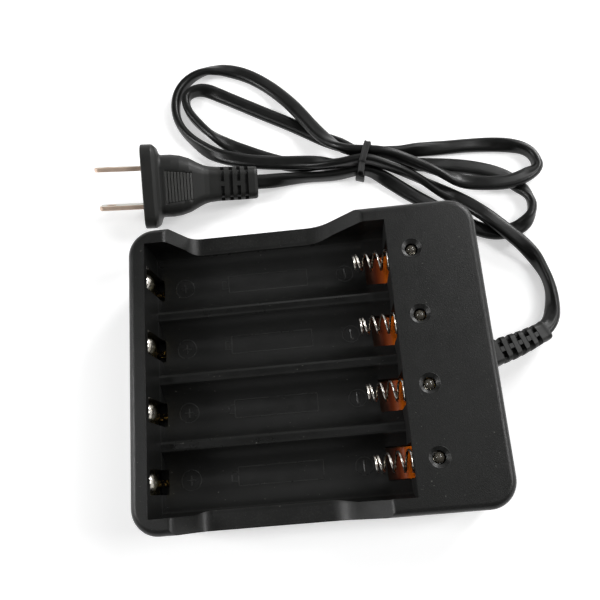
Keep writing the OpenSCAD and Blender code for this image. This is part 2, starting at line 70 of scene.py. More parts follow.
def add_mesh(name, verts, faces, material, slot, body=BODY, sharp=35):
    """Smooth-shaded piece that rides with body; edges steeper than sharp degrees stay crisp."""
    mesh = bpy.data.meshes.new(name)
    mesh.from_pydata([(v[0] * MM, v[1] * MM, v[2] * MM) for v in verts], [], faces)
    mesh.validate()
    mesh.polygons.foreach_set("use_smooth", [True] * len(mesh.polygons))
    mesh.set_sharp_from_angle(angle=math.radians(sharp))
    mesh.update()
    obj = new_object(name, mesh)
    obj.data.materials.append(material)
    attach(obj, body)
    return obj


def ring_faces(n_rings, n_side, closed=False):
    """Quads between rings of points; an open run of rings gets an end cap at each end."""
    faces = []
    for k in range(n_rings if closed else n_rings - 1):
        a, b = k * n_side, ((k + 1) % n_rings) * n_side
        for j in range(n_side):
            j2 = (j + 1) % n_side
            faces.append((a + j, a + j2, b + j2, b + j))
    if not closed:
        faces.append(tuple(range(n_side - 1, -1, -1)))
        faces.append(tuple((n_rings - 1) * n_side + j for j in range(n_side)))
    return faces


def join_parts(parts):
    verts, faces = [], []
    for v, f in parts:
        base = len(verts)
        verts += list(v)
        faces += [tuple(i + base for i in q) for q in f]
    return verts, faces


def unit(v):
    return v / np.linalg.norm(v)


def run_length(points):
    """Distance along a line of points, at every point."""
    legs = np.linalg.norm(np.diff(points[:, :3], axis=0), axis=1)
    return np.concatenate([[0], np.cumsum(legs)])


def spline(points, step):
    """Natural cubic spline, every column alike, sampled about every step along x, y, z."""
    p = np.array(points, float)
    t = run_length(p)
    n = len(p)
    h = np.diff(t)
    a = np.zeros((n, n))
    b = np.zeros((n, p.shape[1]))
    a[0, 0] = a[-1, -1] = 1
    for i in range(1, n - 1):
        a[i, i - 1], a[i, i], a[i, i + 1] = h[i - 1], 2 * (h[i - 1] + h[i]), h[i]
        b[i] = 6 * ((p[i + 1] - p[i]) / h[i] - (p[i] - p[i - 1]) / h[i - 1])
    m = np.linalg.solve(a, b)
    s = np.linspace(0, t[-1], int(t[-1] / step) + 1)
    k = np.clip(np.searchsorted(t, s, side="right") - 1, 0, n - 2)
    u = (s - t[k])[:, None]
    hk = h[k][:, None]
    c = (p[k + 1] - p[k]) / hk - hk * (2 * m[k] + m[k + 1]) / 6
    return p[k] + c * u + m[k] / 2 * u**2 + (m[k + 1] - m[k]) / (6 * hk) * u**3


def dense(points, closed=True, step=0.5):
    """The same outline with points at least every step."""
    out = []
    ends = points[1:] + points[:1] if closed else points[1:]
    for a, b in zip(points, ends):
        a, b = np.array(a), np.array(b)
        m = max(1, int(np.linalg.norm(b - a) / step))
        out += [tuple(a + (b - a) * j / m) for j in range(m)]
    return out if closed else out + [points[-1]]


CORNER_STEPS, WIDE_STEPS, HIGH_STEPS = 8, 24, 12
SOFT_RECT_POINTS = 4 * CORNER_STEPS + 2 * (WIDE_STEPS + HIGH_STEPS)


def soft_rect(hw, hh, r):
    """Rounded rectangle of half sizes hw and hh, with the same point count for every size."""
    r = min(r, hw - 0.01, hh - 0.01)
    ix, iy = hw - r, hh - r
    out = []
    for cx, cy, start, end, n in ((ix, iy, 0, (-ix, hh), WIDE_STEPS),
                                  (-ix, iy, 90, (-hw, -iy), HIGH_STEPS),
                                  (-ix, -iy, 180, (ix, -hh), WIDE_STEPS),
                                  (ix, -iy, 270, (hw, iy), HIGH_STEPS)):
        for j in range(CORNER_STEPS + 1):
            a = math.radians(start + 90 * j / CORNER_STEPS)
            out.append((cx + r * math.cos(a), cy + r * math.sin(a)))
        x, y = out[-1]
        out += [(x + (end[0] - x) * j / n, y + (end[1] - y) * j / n) for j in range(1, n)]
    return np.array(out)


def sunk(p, hw, hh, depth):
    """A point of a section moved inwards, to the bottom of a slot."""
    return p - unit(np.array([p[0] / hw**2, p[1] / hh**2])) * depth


SLOT_EDGE, SLOT_RIM, SLOT_CLEAR = 0.03, 0.16, 0.2


def steps_with_slots(x0, x1, step, slots, width):
    """Stations from x0 to x1, a pair at every slot wall; each has its slot's index or None."""
    half = width / 2
    marks = [(x, None) for x in np.arange(x0, x1 + 1e-6, step)]
    for i, c in enumerate(slots):
        marks = [m for m in marks if abs(m[0] - c) > half + SLOT_CLEAR]
        marks += [(c - half - SLOT_RIM, None), (c - half - SLOT_EDGE, None),
                  (c - half + SLOT_EDGE, i), (c, i), (c + half - SLOT_EDGE, i),
                  (c + half + SLOT_EDGE, None), (c + half + SLOT_RIM, None)]
    return sorted(marks, key=lambda m: m[0])


# Camera fitted to the photograph: eye in millimetres, focal length in the photograph's pixels

CAM_EYE = (7.937, -37.805, 215.839)
CAM_RIGHT = (0.994219, -0.079546, -0.072114)
CAM_UP = (0.096587, 0.955962, 0.277140)
CAM_BACK = (0.046893, -0.282504, 0.958119)
FOCAL_PX, PHOTO_PX, SENSOR_MM = 668.753, 600.0, 36.0
CLIP_M = (0.01, 20.0)

cam_data = bpy.data.cameras.new("camera")
cam_data.sensor_width = SENSOR_MM
cam_data.lens = FOCAL_PX / PHOTO_PX * SENSOR_MM
cam_data.clip_start, cam_data.clip_end = CLIP_M
camera = new_object("camera", cam_data)
cam_axes = [Vector(v).normalized() for v in (CAM_RIGHT, CAM_UP, CAM_BACK)]
cam_matrix = Matrix(cam_axes).transposed().to_4x4()
cam_matrix.translation = Vector(CAM_EYE) * MM
camera.matrix_world = cam_matrix
bpy.context.scene.camera = camera


# Material helpers

def new_material(name):
    m = bpy.data.materials.new(name)
    m.use_nodes = True
    return m, m.node_tree, m.node_tree.nodes["Principled BSDF"]


def feed(tree, socket, value):
    """Set a socket to a number or a colour, or link a node's output to it."""
    if isinstance(value, (int, float)):
        socket.default_value = value
    elif isinstance(value, tuple):
        socket.default_value = (*value, 1)
    else:
        tree.links.new(value, socket)


def noise(tree, scale, detail):
    n = tree.nodes.new("ShaderNodeTexNoise")
    n.inputs["Scale"].default_value = scale
    n.inputs["Detail"].default_value = detail
    coord = tree.nodes.new("ShaderNodeTexCoord")
    tree.links.new(coord.outputs["Object"], n.inputs["Vector"])
    return n.outputs["Fac"]


def remap(tree, value, lo, hi, a=0.0, b=1.0):
    """Value between a and b, spread over lo to hi."""
    n = tree.nodes.new("ShaderNodeMapRange")
    n.inputs["From Min"].default_value = a
    n.inputs["From Max"].default_value = b
    n.inputs["To Min"].default_value = lo
    n.inputs["To Max"].default_value = hi
    tree.links.new(value, n.inputs["Value"])
    return n.outputs["Result"]


def mottle(tree, scale, detail, lo=0, hi=1, a=0.3, b=0.7):
    """Noise between a and b, spread over lo to hi."""
    return remap(tree, noise(tree, scale, detail), lo, hi, a, b)


def above(tree, value, start_mm, end_mm, top=1):
    """Nothing up to start_mm, top from end_mm on."""
    return remap(tree, value, 0, top, start_mm * MM, end_mm * MM)


def below(tree, value, start_mm, end_mm, bottom=0):
    """One up to start_mm, bottom from end_mm on."""
    return remap(tree, value, 1, bottom, start_mm * MM, end_mm * MM)


def math_node(tree, operation, a, b=0.0):
    n = tree.nodes.new("ShaderNodeMath")
    n.operation = operation
    feed(tree, n.inputs[0], a)
    feed(tree, n.inputs[1], b)
    return n.outputs[0]


def product(tree, first, *others):
    for value in others:
        first = math_node(tree, "MULTIPLY", first, value)
    return first


def distance(tree, a, b):
    squares = math_node(tree, "ADD", product(tree, a, a), product(tree, b, b))
    return math_node(tree, "SQRT", squares)


def axis_value(tree, axis):
    coord = tree.nodes.new("ShaderNodeTexCoord")
    xyz = tree.nodes.new("ShaderNodeSeparateXYZ")
    tree.links.new(coord.outputs["Object"], xyz.inputs[0])
    return xyz.outputs[axis]


def mix_value(tree, fac, a, b):
    rest = math_node(tree, "SUBTRACT", 1.0, fac)
    return math_node(tree, "ADD", product(tree, fac, b), product(tree, rest, a))


def mix_colors(tree, fac, a, b):
    n = tree.nodes.new("ShaderNodeMix")
    n.data_type = "RGBA"
    feed(tree, n.inputs["A"], a)
    feed(tree, n.inputs["B"], b)
    tree.links.new(fac, n.inputs["Factor"])
    return n.outputs["Result"]


def ramp(tree, value, stops):
    n = tree.nodes.new("ShaderNodeValToRGB")
    tree.links.new(value, n.inputs["Fac"])
    band = n.color_ramp
    while len(band.elements) < len(stops):
        band.elements.new(0.5)
    for element, (place, color) in zip(band.elements, stops):
        element.position = place
        element.color = (*color, 1)
    return n.outputs["Color"]


def bump(tree, shader, height, strength, distance_mm, after=None):
    n = tree.nodes.new("ShaderNodeBump")
    feed(tree, n.inputs["Strength"], strength)
    n.inputs["Distance"].default_value = distance_mm * MM
    tree.links.new(height, n.inputs["Height"])
    if after is not None:
        tree.links.new(after, n.inputs["Normal"])
    tree.links.new(n.outputs["Normal"], shader.inputs["Normal"])
    return n.outputs["Normal"]


# Materials

ROUGH_SPREAD = 0.06


def plastic(name, dark, light, rough, grain=0.25, grain_mm=0.25, spec=0.5):
    m, t, s = new_material(name)
    t.links.new(mix_colors(t, mottle(t, 60, 4), dark, light), s.inputs["Base Color"])
    t.links.new(mottle(t, 260, 5, rough - ROUGH_SPREAD, rough + ROUGH_SPREAD), s.inputs["Roughness"])
    s.inputs["Specular IOR Level"].default_value = spec
    bump(t, s, noise(t, 1000 / grain_mm, 2), grain, 0.02)
    return m


def metal(name, bright, rough, spread=ROUGH_SPREAD, grain=0.06, metallic=1.0):
    m, t, s = new_material(name)
    dull = tuple(c * 0.82 for c in bright)
    t.links.new(mix_colors(t, mottle(t, 350, 4, 0, 1, 0.35, 0.7), dull, bright), s.inputs["Base Color"])
    s.inputs["Metallic"].default_value = metallic
    t.links.new(mottle(t, 700, 4, rough - spread, rough + spread), s.inputs["Roughness"])
    bump(t, s, noise(t, 2500, 2), grain, 0.01)
    return m


# Housing, where its finish changes: each pair is the start and the end of a change in millimetres
INNER_LEFT, INNER_RIGHT = (-47.8, -47.2), (28.6, 28.9)
INNER_SIDE, INNER_TOP = (40.2, 40.5), (27.4, 27.8)
SINK_EDGE, SINK_FLAT = (3.0, 3.2), (1.9, 3.05)
# The last pair places the painted highlight lines on the ridge edges
RIDGE_TOP_BAND, RIDGE_SIDE, RIDGE_HIGHLIGHT_SIDE = (0.3, 0.6), (0.8, 1.38), (0.6, 1.0)
FILM_POCKET = (19.0, 21.5)
# Depth of each bump in millimetres, then roughness, strength of the grain and colour by zone
SINK_DEPTH, RIDGE_ROUND, GRAIN_DEPTH, WAVE_DEPTH = 0.85, 0.16, 0.045, 0.05
OUTER_ROUGH, INNER_ROUGH, SINK_ROUGH, RIDGE_ROUGH, POCKET_ROUGH = 0.35, 0.42, 0.35, 0.3, 0.8
OUTER_GRAIN, INNER_GRAIN, SINK_GRAIN = 1.1, 0.35, 0.2
OUTER_WAVE, INNER_WAVE = 0.05, 0.10
OUTER_DARK, OUTER_LIGHT = (0.0072, 0.0074, 0.0070), (0.0088, 0.0090, 0.0085)
INNER_DARK, INNER_LIGHT = (0.0042, 0.0043, 0.0040), (0.0068, 0.0070, 0.0066)
# The middle colour and the middle amount below paint a highlight on the ridge edges
OUTER_FLECK, RIDGE_EDGE_HIGHLIGHT, DUST = (0.028, 0.028, 0.027), (0.020, 0.0203, 0.0195), (0.10, 0.10, 0.09)
FLECKS, RIDGE_HIGHLIGHT_AMOUNT, DUSTY = 0.55, 0.6, 0.7
HOUSING_SPEC = 0.34


def housing_plastic():
    """Spark-textured outside, smoother troughs, soft ridges with painted highlight lines along their
    edges, glossy lamp sinks, some dust.
    """
    m, t, s = new_material("housing_plastic")
    x, y, z = (axis_value(t, a) for a in "XYZ")
    inner = product(t, above(t, x, *INNER_LEFT), below(t, x, *INNER_RIGHT),
                    below(t, math_node(t, "ABSOLUTE", y), *INNER_SIDE), below(t, z, *INNER_TOP))
    half_pitch = BAY_PITCH / 2 * MM
    from_ridge = math_node(t, "PINGPONG", y, half_pitch)
    from_lamp = math_node(t, "SUBTRACT", half_pitch, from_ridge)
    lamp_r = distance(t, math_node(t, "SUBTRACT", x, LAMP_X * MM), from_lamp)
    sink = below(t, lamp_r, *SINK_EDGE)
    off_top = math_node(t, "ABSOLUTE", math_node(t, "SUBTRACT", z, RIDGE_TOP * MM))
    on_ridge = product(t, inner, below(t, off_top, *RIDGE_TOP_BAND))
    by_film = product(t, inner, above(t, x, *FILM_POCKET))

    outer_color = mix_colors(t, mottle(t, 45, 4), OUTER_DARK, OUTER_LIGHT)
    outer_color = mix_colors(t, mottle(t, 3000, 2, 0, FLECKS, 0.5, 0.75), outer_color, OUTER_FLECK)
    inner_color = mix_colors(t, mottle(t, 2600, 2, 0, 1, 0.35, 0.7), INNER_DARK, INNER_LIGHT)
    color = mix_colors(t, inner, outer_color, inner_color)
    # Painted highlight: lighter lines along both edges of each ridge top
    painted_ridge_highlight = product(t, on_ridge, above(t, from_ridge, *RIDGE_HIGHLIGHT_SIDE, top=RIDGE_HIGHLIGHT_AMOUNT))
    color = mix_colors(t, painted_ridge_highlight, color, RIDGE_EDGE_HIGHLIGHT)
    speck = mottle(t, 1300, 1, 0, DUSTY, 0.765, 0.80)
    t.links.new(mix_colors(t, speck, color, DUST), s.inputs["Base Color"])

    rough = mix_value(t, sink, mix_value(t, inner, OUTER_ROUGH, INNER_ROUGH), SINK_ROUGH)
    rough = mix_value(t, by_film, mix_value(t, on_ridge, rough, RIDGE_ROUGH), POCKET_ROUGH)
    wander = mottle(t, 240, 5, -0.04, 0.04)
    t.links.new(math_node(t, "ADD", rough, wander), s.inputs["Roughness"])
    s.inputs["Specular IOR Level"].default_value = HOUSING_SPEC

    flat_sink = bump(t, s, below(t, lamp_r, *SINK_FLAT), 1.0, SINK_DEPTH)
    round_ridge = bump(t, s, below(t, from_ridge, *RIDGE_SIDE), on_ridge, RIDGE_ROUND,
                       after=flat_sink)
    matte = product(t, mix_value(t, inner, OUTER_GRAIN, INNER_GRAIN), remap(t, sink, 1, SINK_GRAIN))
    grain = bump(t, s, noise(t, 3300, 3), matte, GRAIN_DEPTH, after=round_ridge)
    wave = mix_value(t, inner, OUTER_WAVE, INNER_WAVE)
    bump(t, s, noise(t, 300, 2), wave, WAVE_DEPTH, after=grain)
    return m


def contact_nickel():
    """Bright nickel at the crown, bronze below it, and painted shade making it dull and dark down in
    the pocket.
    """
    m, t, s = new_material("contact_nickel")
    height = math_node(t, "ADD", axis_value(t, "Z"), mottle(t, 900, 3, -0.8 * MM, 0.8 * MM))
    fac = above(t, height, 6.0, 26.0)
    # Painted shade: the plate darkens from the crown down to near black in the pocket
    plate = ramp(t, fac, [(0.0, (0.008, 0.007, 0.006)), (0.12, (0.02, 0.018, 0.012)),
                          (0.27, (0.22, 0.19, 0.11)), (0.68, (0.32, 0.29, 0.16)),
                          (0.765, (0.60, 0.57, 0.52)), (1.0, (0.70, 0.67, 0.62))])
    under_crown = remap(t, fac, 1, 0, 0.60, 0.74)
    gold = product(t, under_crown, mottle(t, 1400, 2, 0, 0.6, 0.55, 0.66))
    t.links.new(mix_colors(t, gold, plate, (0.55, 0.36, 0.12)), s.inputs["Base Color"])
    s.inputs["Metallic"].default_value = 1.0
    t.links.new(mottle(t, 700, 4, 0.2, 0.32), s.inputs["Roughness"])
    bump(t, s, noise(t, 1500, 3), 0.15, 0.03)
    return m


def spring_nickel():
    """Bright on the upper half of the coils, with painted shade making them dark underneath."""
    m, t, s = new_material("spring_nickel")
    high = above(t, axis_value(t, "Z"), SPRING_Z - 1.2, SPRING_Z + 0.4)
    worn = mix_colors(t, mottle(t, 350, 4, 0, 1, 0.35, 0.7), (0.78, 0.74, 0.68), (0.92, 0.88, 0.81))
    # Painted shade: the lower half of the coils is dark
    t.links.new(mix_colors(t, high, (0.16, 0.14, 0.11), worn), s.inputs["Base Color"])
    s.inputs["Metallic"].default_value = 1.0
    t.links.new(mottle(t, 700, 4, 0.24, 0.3), s.inputs["Roughness"])
    bump(t, s, noise(t, 2500, 2), 0.01, 0.01)
    return m


def amber_film():
    """Orange where it turns up, darkened to brown towards the trough as painted shade, and dark in the
    painted shade of the panel.
    """
    m, t, s = new_material("amber_film")
    # Painted shade: browner and darker towards the trough, full orange where it turns up
    film = ramp(t, above(t, axis_value(t, "X"), 20.0, 26.2),
                [(0.05, (0.100, 0.060, 0.042)), (0.5, (0.115, 0.024, 0.010)),
                 (0.84, (0.33, 0.058, 0.003)), (1.0, (0.50, 0.10, 0.003))])
    shade = above(t, axis_value(t, "Z"), 12.0, 14.5, top=0.9)
    t.links.new(mix_colors(t, shade, film, (0.030, 0.014, 0.008)), s.inputs["Base Color"])
    t.links.new(mottle(t, 900, 3, 0.25, 0.4), s.inputs["Roughness"])
    s.inputs["Specular IOR Level"].default_value = 0.05
    bump(t, s, noise(t, 260, 2), 0.2, 0.06)
    return m


def lamp_epoxy():
    m, t, s = new_material("lamp_epoxy")
    cloud = mix_colors(t, noise(t, 900, 2), (0.34, 0.30, 0.24), (0.50, 0.46, 0.38))
    t.links.new(cloud, s.inputs["Base Color"])
    s.inputs["Transmission Weight"].default_value = 0.85
    t.links.new(mottle(t, 1500, 2, 0.10, 0.2), s.inputs["Roughness"])
    bump(t, s, noise(t, 1800, 2), 0.05, 0.02)
    return m


HOUSING = housing_plastic()
COVER = plastic("cover_black", (0.014, 0.014, 0.0135), (0.02, 0.02, 0.019), 0.5)
VINYL = plastic("cord_vinyl", (0.0055, 0.0057, 0.0054), (0.0070, 0.0072, 0.0068), 0.34,
                grain=0.12, grain_mm=0.5, spec=0.32)
PLUG_VINYL = plastic("plug_vinyl", (0.0140, 0.0142, 0.0133), (0.0166, 0.0168, 0.0158), 0.45,
                     grain=0.3, grain_mm=0.3, spec=0.32)
RIB_VINYL = plastic("rib_vinyl", (0.040, 0.0405, 0.0382), (0.053, 0.0535, 0.0508), 0.5,
                    grain=0.5, grain_mm=0.3, spec=0.4)
NYLON = plastic("nylon_black", (0.01, 0.01, 0.01), (0.014, 0.014, 0.0135), 0.4, grain=0.1)
# Painted highlight: the marks are the housing's plastic, coloured lighter than the troughs
MARK_WITH_PAINTED_HIGHLIGHT = plastic("mark_line", (0.0130, 0.0132, 0.0126), (0.0180, 0.0183, 0.0175), 0.3,
               grain=0.1, spec=0.45)
ZINC = metal("zinc", (0.60, 0.60, 0.58), 0.3)
BLADE_EDGE = metal("blade_edge", (0.74, 0.56, 0.44), 0.36, spread=0.05, grain=0.01, metallic=0.5)
BLADE_FACE = metal("blade_face", (0.60, 0.59, 0.51), 0.34, spread=0.05, grain=0.01, metallic=0.5)
BOARD = plastic("board_laminate", (0.22, 0.13, 0.05), (0.3, 0.18, 0.075), 0.5)
TAPE = plastic("winding_tape", (0.62, 0.48, 0.08), (0.75, 0.6, 0.14), 0.3, grain=0.05)
SLEEVE = plastic("capacitor_sleeve", (0.02, 0.03, 0.07), (0.03, 0.045, 0.1), 0.25, grain=0.05)
LACQUER = plastic("resistor_lacquer", (0.24, 0.36, 0.44), (0.32, 0.44, 0.52), 0.4)
EPOXY = plastic("chip_epoxy", (0.02, 0.02, 0.02), (0.035, 0.035, 0.035), 0.55)
LEAD = plastic("lead_insulation", (0.22, 0.08, 0.04), (0.3, 0.12, 0.06), 0.4)
SPRING = spring_nickel()
NICKEL = contact_nickel()
AMBER = amber_film()
LAMP = lamp_epoxy()

CAD_MATERIALS = {
    "upper_housing": HOUSING, "bottom_cover": COVER, "cover_screws": ZINC, "main_board": BOARD,
    "transformer": TAPE, "bulk_capacitor": SLEEVE, "output_capacitor": SLEEVE,
    "fuse_resistor": LACQUER, "rectifier_diodes": EPOXY, "switching_transistor": EPOXY,
    "charge_transistors": EPOXY, "mains_leads": LEAD, "strain_relief": VINYL,
    "power_cord": VINYL, "cord_tie": NYLON, "plug_body": PLUG_VINYL,
    "plug_blade_1": BLADE_EDGE, "plug_blade_2": BLADE_EDGE,
}
for k in range(1, BAYS + 1):
    CAD_MATERIALS["positive_contact_%d" % k] = NICKEL
    CAD_MATERIALS["negative_spring_%d" % k] = SPRING
    CAD_MATERIALS["spring_insulator_%d" % k] = AMBER
    CAD_MATERIALS["led_%d" % k] = LAMP
for name, material in CAD_MATERIALS.items():
    mesh = NODES[name].data
    mesh.materials.clear()
    mesh.materials.append(material)


# Plug: placed by a point and three turns; its own x runs from the blades' face to the cord

PLUG_AT = (-51.6, 67.35, 12.4)
PLUG_TURNS = ((0.7, "Z"), (9.4, "Y"), (26.0, "X"))
LOWEST_Z = 0.05
# Along the body: x, half width, half height, corner radius
PLUG_LINE = np.array([
    (0, 13.5, 8.0, 3.7), (0.1, 13.75, 8.25, 3.9), (0.3, 13.88, 8.38, 4), (3.5, 13.88, 8.38, 4),
    (3.9, 13.7, 8.2, 4), (4.6, 13.0, 7.8, 4), (5.3, 11.2, 7.0, 4), (5.7, 10.6, 6.7, 4.1),
    (6.4, 10.38, 6.58, 4.2), (9.5, 10.38, 6.58, 4.2), (12.4, 9.98, 6.48, 4.1),
    (15.5, 8.98, 6.08, 3.9), (18.8, 7.18, 5.18, 3.4), (20.4, 6.48, 4.73, 3.15),
    (22, 6.08, 4.38, 2.9), (25, 5.78, 4.13, 2.7), (32, 5.68, 3.98, 2.6), (37.4, 5.48, 3.78, 2.5),
    (38.1, 5.3, 3.6, 2.4), (38.4, 4.95, 3.3, 2.2)])
PLUG_FACE_STEPS = (0, 0.07, 0.15, 0.28, 0.45)
PLUG_STEP_FROM, PLUG_STEP = 0.7, 0.13
PLUG_SLOTS, PLUG_SLOT_WIDE, PLUG_SLOT_DEEP = (26.4, 29.3, 31.9, 34.6), 1.15, 1.25
SPINE_SIDE, SPINE_TOP = 0.9, 0.95
# Grip recess: where it starts and ends, how far it lies off the middle, half width at its start
GRIP_FROM, GRIP_TO, GRIP_OFF, GRIP_HALF, GRIP_TAPER, GRIP_DEEP = 7.3, 16.5, 0.5, 5.5, 0.1, 0.4
GRIP_WALL, GRIP_END_WALL, GRIP_FLAT = 0.25, 0.2, 0.8
RIBS, RIB_PITCH, RIB_FIRST, RIB_HALF, RIB_END = 9, 1.04, 0.45, 5.3, 0.25
RIB_PROFILE = [(-0.40, -0.5), (-0.36, -0.12), (-0.2, 0.02), (0.2, 0.02), (0.36, -0.12), (0.40, -0.5)]
RIB_END_SCALE, RIB_END_TOP = 0.6, -0.2


def plug_matrix():
    m = Matrix.Translation(Vector(PLUG_AT))
    for angle, axis in PLUG_TURNS:
        m = m @ Matrix.Rotation(math.radians(angle), 4, axis)
    return m


def plug_section(x, slot):
    """Body section at x; every second slot leaves a bridge at top and bottom too."""
    hw, hh, r = (np.interp(x, PLUG_LINE[:, 0], PLUG_LINE[:, i]) for i in (1, 2, 3))
    out = []
    for p in soft_rect(hw, hh, r):
        if slot is not None:
            if abs(p[1]) > SPINE_SIDE and (slot % 2 or abs(p[0]) > SPINE_TOP):
                p = sunk(p, hw, hh, PLUG_SLOT_DEEP)
        elif GRIP_FROM < x < GRIP_TO:
            side = GRIP_HALF - (x - GRIP_FROM) * GRIP_TAPER
            inside = min(1.0, max(0.0, (side - abs(p[0] + GRIP_OFF)) / GRIP_WALL))
            inside *= abs(p[1]) > hh * GRIP_FLAT
            end = min(1.0, (x - GRIP_FROM) / GRIP_END_WALL, (GRIP_TO - x) / GRIP_END_WALL)
            p = np.array((p[0], p[1] - math.copysign(inside * end * GRIP_DEEP, p[1])))
        out.append(p)
    return out


def build_plug():
    m = plug_matrix()
    marks = [(x, None) for x in PLUG_FACE_STEPS]
    marks += steps_with_slots(PLUG_STEP_FROM, PLUG_LINE[-1, 0], PLUG_STEP, PLUG_SLOTS, PLUG_SLOT_WIDE)
    verts = []
    for x, slot in marks:
        for p in plug_section(x, slot):
            v = m @ Vector((x, p[0], p[1]))
            verts.append((v.x, v.y, max(v.z, LOWEST_Z)))
    faces = ring_faces(len(marks), SOFT_RECT_POINTS)
    obj = add_mesh("plug_moulding", verts, faces, PLUG_VINYL, slot="plug_vinyl", sharp=40)
    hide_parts("plug_body")
    return obj


def build_grip():
    """Cross ribs standing in the recess on both flat sides of the plug."""
    m = plug_matrix()
    parts = []
    for side in (1, -1):
        for k in range(RIBS):
            x = GRIP_FROM + RIB_FIRST + k * RIB_PITCH
            half = RIB_HALF - (x - GRIP_FROM) * GRIP_TAPER
            verts = []
            for y, is_end in ((-half, True), (-half + RIB_END, False),
                              (half - RIB_END, False), (half, True)):
                for dx, dz in RIB_PROFILE:
                    top = min(dz, RIB_END_TOP) if is_end else dz
                    z = np.interp(x + dx, PLUG_LINE[:, 0], PLUG_LINE[:, 2]) + top
                    at_x = x + dx * (RIB_END_SCALE if is_end else 1.0)
                    verts.append(m @ Vector((at_x, y - GRIP_OFF, side * z)))
            parts.append((verts, ring_faces(4, len(RIB_PROFILE))))
    return add_mesh("plug_grip_ribs", *join_parts(parts), RIB_VINYL, slot="plug_vinyl")


# Blades: outline along x and z, thickness along y
BLADE_OUTLINE = [(11.4, -3.17), (-13.9, -3.17), (-14.75, -2.6), (-15.05, -1.9),
                 (-15.05, 1.9), (-14.75, 2.6), (-13.9, 3.17), (11.4, 3.17)]
BLADE_SPACING, BLADE_STEP = 12.7, 0.6
BLADE_HALF, BLADE_BEVEL_Y, BLADE_BEVEL = 0.75, 0.55, 0.22
BLADE_TIP_X, BLADE_RIM_Z = -14, 2.5
BLADE_HOLE_X, BLADE_HOLE_R = -11.3, 1.6
BLADE_FACE_BANDS = (3, 5)


def build_blade(number, side, lean, extra):
    """Flat blade with bevelled rim, rounded tip corners and a hole, leaning about its length."""
    m = plug_matrix() @ Matrix.Translation((0, side * BLADE_SPACING / 2, 0))
    m = m @ Matrix.Rotation(math.radians(lean), 4, "X")
    rim = dense([(x - extra * (x < 0), z) for x, z in BLADE_OUTLINE], True, BLADE_STEP)
    turn = [math.atan2(z, x - BLADE_HOLE_X) for x, z in rim]
    rings = []
    for shrink, y in ((BLADE_BEVEL, -BLADE_HALF), (0.0, -BLADE_BEVEL_Y),
                      (0.0, BLADE_BEVEL_Y), (BLADE_BEVEL, BLADE_HALF)):
        rings.append([(x + (shrink if x < BLADE_TIP_X else 0), y,
                       z - math.copysign(shrink, z) * (abs(z) > BLADE_RIM_Z)) for x, z in rim])
    for y in (BLADE_HALF, -BLADE_HALF):
        rings.append([(BLADE_HOLE_X + BLADE_HOLE_R * math.cos(a), y, BLADE_HOLE_R * math.sin(a))
                      for a in turn])
    verts = [m @ Vector(v) for ring in rings for v in ring]
    faces = ring_faces(len(rings), len(rim), closed=True)
    obj = add_mesh("plug_blade_plated_%d" % number, verts, faces, BLADE_EDGE, slot="blade_metal")
    obj.data.materials.append(BLADE_FACE)
    for f in obj.data.polygons:
        f.material_index = int(f.index // len(rim) in BLADE_FACE_BANDS)
    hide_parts("plug_blade_%d" % number)
    return obj


plug = build_plug()
grip = build_grip()


# Strain relief: neck and inner flange in the wall, then a slotted tail along the cord's first bend

# Along the tail: x, y, z, half width, half height
RELIEF_LINE = [(52.8, -0.9, 9.2, 4.05, 3.7), (55, -0.45, 9.1, 4, 3.65), (58, 0.45, 8.8, 3.9, 3.55),
               (61, 1.3, 8.5, 3.8, 3.45), (64, 2.25, 8.1, 3.65, 3.35), (67, 3.35, 7.7, 3.45, 3.2),
               (70, 4.6, 7.2, 3.25, 3.05), (72.4, 5.7, 6.8, 3.15, 2.9),
               (73.3, 6.15, 6.65, 3.1, 2.85), (73.6, 6.3, 6.6, 2.85, 2.6)]
# Inside the wall: x and radius
RELIEF_NECK = ((49.3, 3.5), (49.4, 3.8), (50.45, 3.8), (50.5, 3.6), (50.52, 2.9), (52.7, 2.9))
RELIEF_SLOTS, RELIEF_SLOT_WIDE, RELIEF_SLOT_DEEP = (58.0, 60.9, 63.8, 66.6, 69.3), 1.3, 1.6
RELIEF_STEP, RELIEF_CORNER, RELIEF_SPINE = 0.25, 1.6, 0.85
RELIEF_RIM, RELIEF_RIM_REACH, RELIEF_FACE, RELIEF_FACE_REACH = 0.14, 0.1, 0.25, 0.02
RELIEF_FINE_STEP, RELIEF_LOOK = 0.05, 0.3


